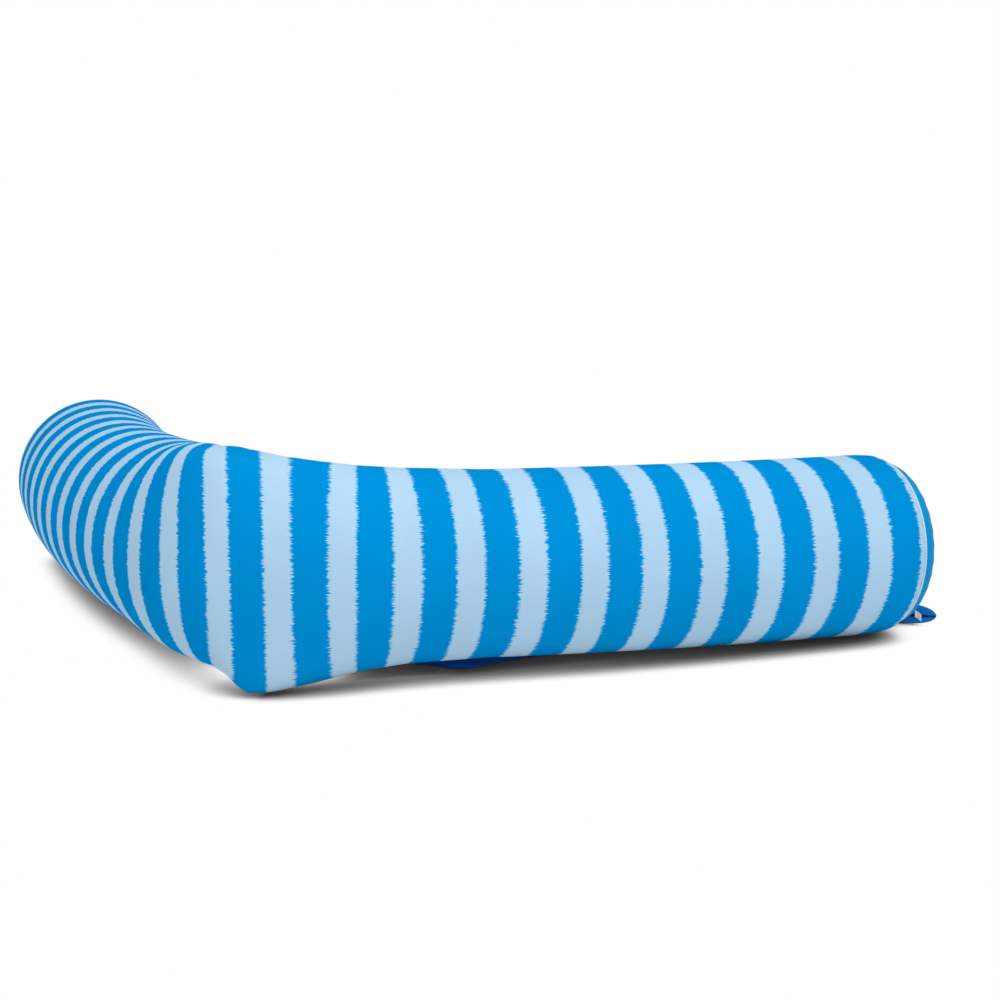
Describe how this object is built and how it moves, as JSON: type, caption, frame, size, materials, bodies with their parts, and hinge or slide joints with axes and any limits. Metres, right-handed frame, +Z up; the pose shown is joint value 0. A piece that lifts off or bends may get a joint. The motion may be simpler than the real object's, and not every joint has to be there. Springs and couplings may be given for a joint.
{
  "type": "inflatable pool float",
  "caption": "L-shaped inflatable pool lounge: fabric-covered air tubes with a kinked corner, plain end caps and a sling seat of mesh between the arms.",
  "frame": {"origin": "centre of the footprint, on the surface it lies on", "axes": "+X towards the left arm, +Y towards the kinked corner, +Z up"},
  "size_m": [1.3872, 0.7434, 0.294],
  "materials": {
    "striped_cover": "matte",
    "plain_blue": "matte",
    "seat_mesh": "matte",
    "bladder_pvc": "gloss",
    "valve_pvc": "gloss",
    "pvc_clear_blue": "satin",
    "zip_tape": "matte",
    "zip_coil": "satin",
    "zip_metal": "satin",
    "label_white": "matte"
  },
  "bodies": {
    "right_arm": {"right_sleeve": "striped_cover", "right_corner_panel": "striped_cover", "right_end_cap": "plain_blue", "right_cap_seam_tape": "plain_blue", "right_valve_patch": "pvc_clear_blue", "right_valve_body": "valve_pvc", "right_plug_strap": "valve_pvc", "right_bladder_tube": "bladder_pvc", "right_bladder_inner_disc": "bladder_pvc", "right_bladder_outer_disc": "bladder_pvc", "right_zip_tape_upper": "zip_tape", "right_zip_tape_lower": "zip_tape", "right_zip_coil": "zip_coil", "right_zip_stops": "zip_metal", "right_seat_binding": "plain_blue", "seat_panel": "seat_mesh", "front_hem": "plain_blue", "care_label": "label_white"},
    "left_arm": {"left_sleeve": "striped_cover", "left_corner_panel": "striped_cover", "left_end_cap": "plain_blue", "left_cap_seam_tape": "plain_blue", "left_valve_patch": "pvc_clear_blue", "left_valve_body": "valve_pvc", "left_plug_strap": "valve_pvc", "left_bladder_tube": "bladder_pvc", "left_bladder_inner_disc": "bladder_pvc", "left_bladder_outer_disc": "bladder_pvc", "left_zip_tape_upper": "zip_tape", "left_zip_tape_lower": "zip_tape", "left_zip_coil": "zip_coil", "left_zip_stops": "zip_metal", "left_seat_binding": "plain_blue"},
    "right_slider": {"right_zip_slider": "zip_metal"},
    "right_pull": {"right_zip_pull": "zip_metal"},
    "right_plug": {"right_plug": "valve_pvc"},
    "right_flap": {"right_check_flap": "valve_pvc"},
    "left_slider": {"left_zip_slider": "zip_metal"},
    "left_pull": {"left_zip_pull": "zip_metal"},
    "left_plug": {"left_plug": "valve_pvc"},
    "left_flap": {"left_check_flap": "valve_pvc"}
  },
  "joints": [
    {"name": "corner_fold", "type": "hinge", "parent": "right_arm", "child": "left_arm", "pos_m": [0, 0.37162, 0.147], "axis": [0, 0, -1], "range_deg": [-10, 20], "stiffness_Nm_per_rad": 8, "deforming": ["seat_panel", "front_hem"]},
    {"name": "right_zip_slide", "type": "hinge", "parent": "right_arm", "child": "right_slider", "pos_m": [1.70436, -2.05974, 0.131], "axis": [0.0272, 0.0266, -0.9993], "range_deg": [0, 4.74]},
    {"name": "right_zip_pull_tilt", "type": "hinge", "parent": "right_slider", "child": "right_pull", "pos_m": [-0.44219, -0.26044, 0.05123], "axis": [-0.4177, 0.3898, -0.8207], "range_deg": [0, 150]},
    {"name": "right_plug_swing", "type": "hinge", "parent": "right_arm", "child": "right_plug", "pos_m": [-0.64169, -0.32747, 0.11325], "axis": [0.0272, 0.0266, -0.9993], "range_deg": [0, 150]},
    {"name": "right_check_flap_open", "type": "hinge", "parent": "right_arm", "child": "right_flap", "pos_m": [-0.60115, -0.28663, 0.11543], "axis": [-0.0272, -0.0266, 0.9993], "range_deg": [0, 60], "stiffness_Nm_per_rad": 0.002},
    {"name": "left_zip_slide", "type": "hinge", "parent": "left_arm", "child": "left_slider", "pos_m": [-1.70436, -2.05974, 0.131], "axis": [0.0272, -0.0266, 0.9993], "range_deg": [0, 4.74]},
    {"name": "left_zip_pull_tilt", "type": "hinge", "parent": "left_slider", "child": "left_pull", "pos_m": [0.44219, -0.26044, 0.05123], "axis": [-0.4177, -0.3898, 0.8207], "range_deg": [0, 150]},
    {"name": "left_plug_swing", "type": "hinge", "parent": "left_arm", "child": "left_plug", "pos_m": [0.64169, -0.32747, 0.11325], "axis": [0.0272, -0.0266, 0.9993], "range_deg": [0, 150]},
    {"name": "left_check_flap_open", "type": "hinge", "parent": "left_arm", "child": "left_flap", "pos_m": [0.60115, -0.28663, 0.11543], "axis": [-0.0272, 0.0266, -0.9993], "range_deg": [0, 60], "stiffness_Nm_per_rad": 0.002}
  ]
}
